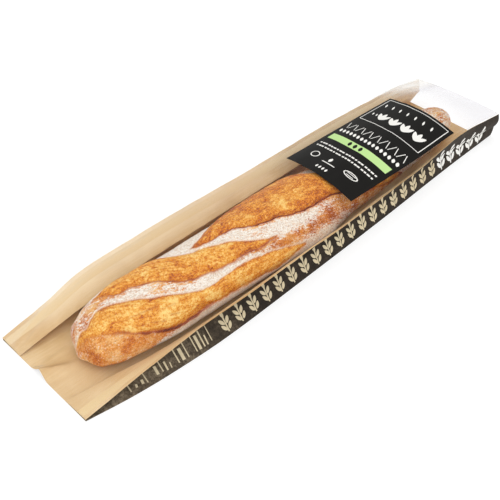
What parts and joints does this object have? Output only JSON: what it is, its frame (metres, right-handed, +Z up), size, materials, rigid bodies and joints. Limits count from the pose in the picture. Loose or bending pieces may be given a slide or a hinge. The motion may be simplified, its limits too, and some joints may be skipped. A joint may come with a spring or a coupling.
{
  "type": "baguette in a window bag",
  "caption": "Scored crusty baguette lying in a long kraft paper bag with folded side gussets, an open mouth, a clear film front and a plain black label.",
  "frame": {"origin": "middle of the bag's footprint, on the surface it lies on", "axes": "+X along the bag towards its open mouth, +Y across it, +Z up"},
  "size_m": [0.566, 0.1326, 0.0565],
  "materials": {
    "crust": "matte",
    "kraft_paper": "matte",
    "clear_film": "gloss",
    "glue_strip": "satin",
    "label": "satin"
  },
  "bodies": {
    "root": {"baguette": "crust", "back_panel": "kraft_paper", "left_gusset": "kraft_paper", "right_gusset": "kraft_paper", "window_film": "clear_film", "left_glue_seam": "glue_strip", "right_glue_seam": "glue_strip", "front_label": "label"}
  },
  "joints": []
}
